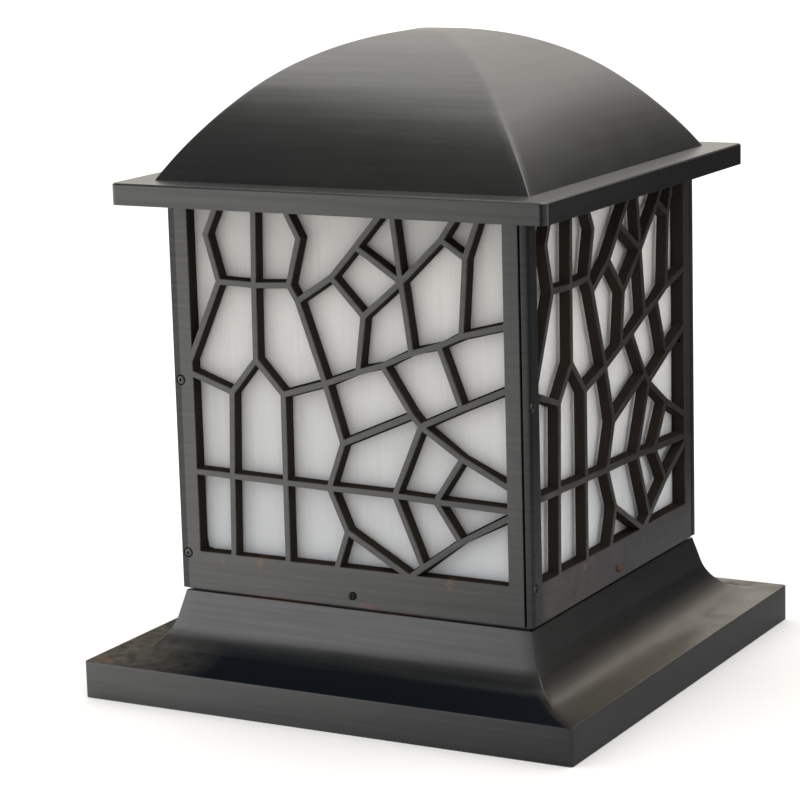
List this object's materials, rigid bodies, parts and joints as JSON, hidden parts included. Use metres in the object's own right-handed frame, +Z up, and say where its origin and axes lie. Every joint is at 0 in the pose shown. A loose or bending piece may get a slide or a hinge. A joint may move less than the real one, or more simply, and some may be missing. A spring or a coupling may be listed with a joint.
{
  "type": "post lantern",
  "caption": "Square post lantern for a pier cap: coved base, cracked-ice grille cage over opal sheets, and a domed roof that lifts off for relamping.",
  "frame": {"origin": "centre of the base's underside, where the lantern stands on its post or pier", "axes": "+Z up through the dome's crest; -Y out of the front grille, +X out of the right grille"},
  "size_m": [0.4, 0.4, 0.4825],
  "materials": {
    "lantern_paint": "satin near-black paint with a bronze cast, rubbed thin and rusted in places",
    "galvanised_steel": "zinc plated",
    "blackened_screw": "blackened steel with rust",
    "opal_sheet": "opal acrylic, frosted",
    "gland_nylon": "moulded",
    "terminal_nylon": "moulded",
    "brass": "machined",
    "porcelain": "glazed",
    "lead_sleeving": "heat-resisting sleeving",
    "bulb_cap_metal": "rolled thread",
    "bulb_glass": "frosted",
    "gasket_rubber": "closed-cell strip"
  },
  "bodies": {
    "lantern": {"base_shell": "lantern_paint", "mounting_plate": "galvanised_steel", "tie_rods": "galvanised_steel", "tie_nuts": "galvanised_steel", "base_upstand": "lantern_paint", "gear_tray": "galvanised_steel", "cable_gland": "gland_nylon", "gland_locknut": "gland_nylon", "terminal_block": "terminal_nylon", "terminal_screws": "brass", "earth_stud": "brass", "earth_nut": "brass", "lampholder_bracket": "galvanised_steel", "bracket_screws": "galvanised_steel", "lampholder": "porcelain", "lamp_leads": "lead_sleeving", "panel_front": "lantern_paint", "panel_right": "lantern_paint", "panel_back": "lantern_paint", "panel_left": "lantern_paint", "diffuser_front": "opal_sheet", "diffuser_right": "opal_sheet", "diffuser_back": "opal_sheet", "diffuser_left": "opal_sheet", "corner_angles": "lantern_paint", "corner_screws": "blackened_screw", "rail_screws": "blackened_screw", "rail_nuts": "galvanised_steel", "cage_top_frame": "lantern_paint", "roof_gasket": "gasket_rubber"},
    "roof": {"roof_eave": "lantern_paint", "roof_dome": "lantern_paint", "roof_tabs": "lantern_paint"},
    "bulb": {"bulb_cap": "bulb_cap_metal", "bulb_tube": "bulb_glass"}
  },
  "joints": [
    {"name": "roof_lift", "type": "slide", "parent": "lantern", "child": "roof", "axis": [0, 0, 1], "range_m": [0, 0.18]},
    {"name": "bulb_draw", "type": "slide", "parent": "lantern", "child": "bulb", "axis": [0, 0, 1], "range_m": [0, 0.035]}
  ]
}
